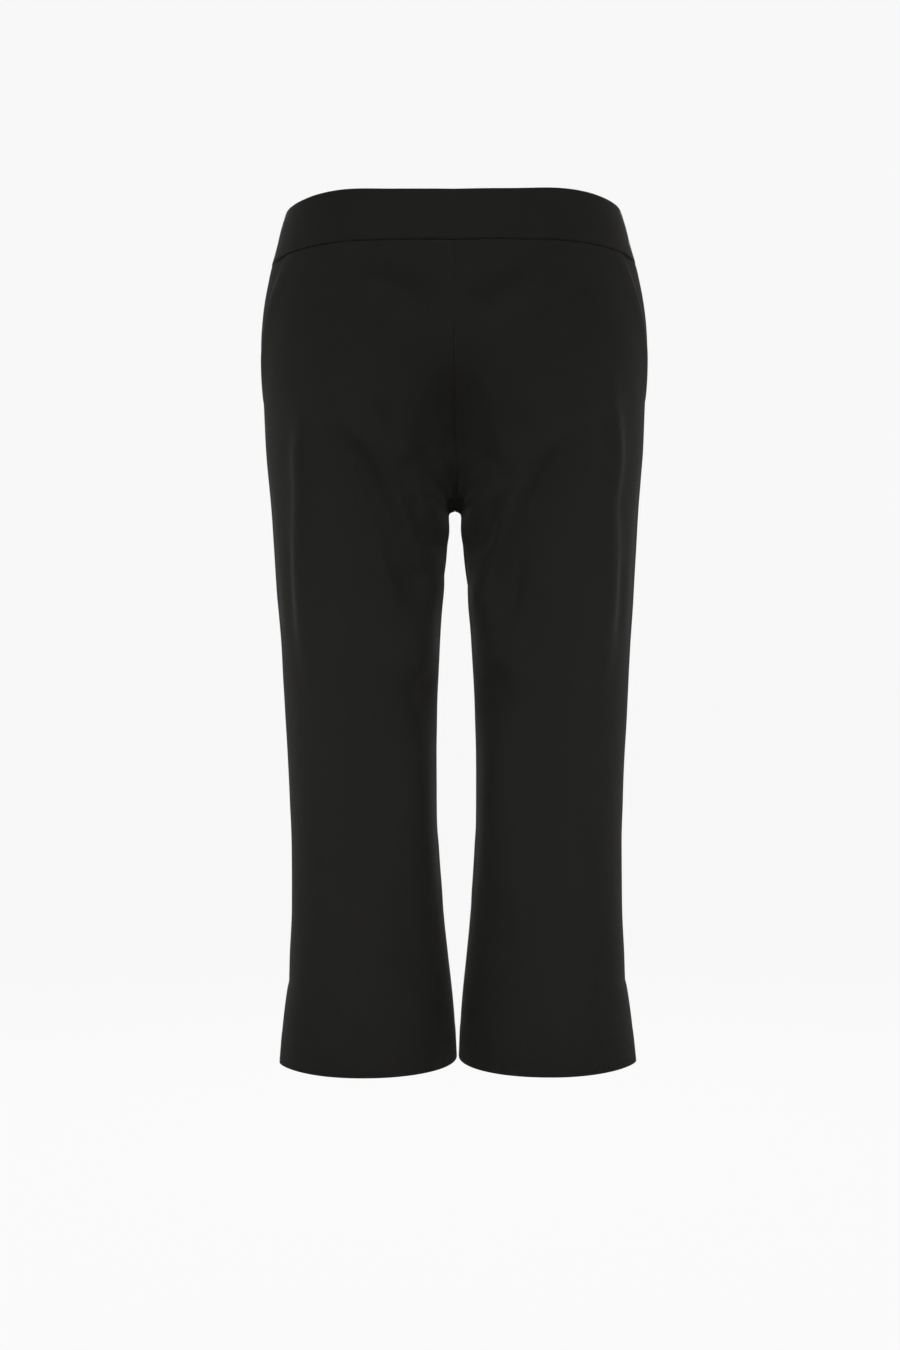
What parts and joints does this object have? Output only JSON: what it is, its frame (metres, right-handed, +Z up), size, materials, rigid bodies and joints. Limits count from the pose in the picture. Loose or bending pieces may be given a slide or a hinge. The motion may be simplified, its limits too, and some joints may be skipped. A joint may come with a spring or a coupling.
{
  "type": "capri pants",
  "caption": "Filled-out pull-on capri pants with a wide shaped waistband, slanted hip pocket openings, straight cropped legs and a short open slit at each outer hem.",
  "frame": {"origin": "centre of the waist opening at the middle of the waistband's height, where a wearer's waist holds the garment", "axes": "+Z up out of the waist, -Y towards the garment's front, +X towards the wearer's left side"},
  "size_m": [0.3412, 0.2343, 0.7626],
  "materials": {
    "cloth": "matte near-black stretch twill",
    "band": "matte near-black stretch twill over elastic",
    "pocket": "matte near-black stretch twill"
  },
  "bodies": {
    "root": {"waistband_front": "band", "waistband_back": "band", "front_left": "cloth", "front_right": "cloth", "back_left": "cloth", "back_right": "cloth", "pocket_side_left": "pocket", "pocket_side_right": "pocket"}
  },
  "joints": []
}
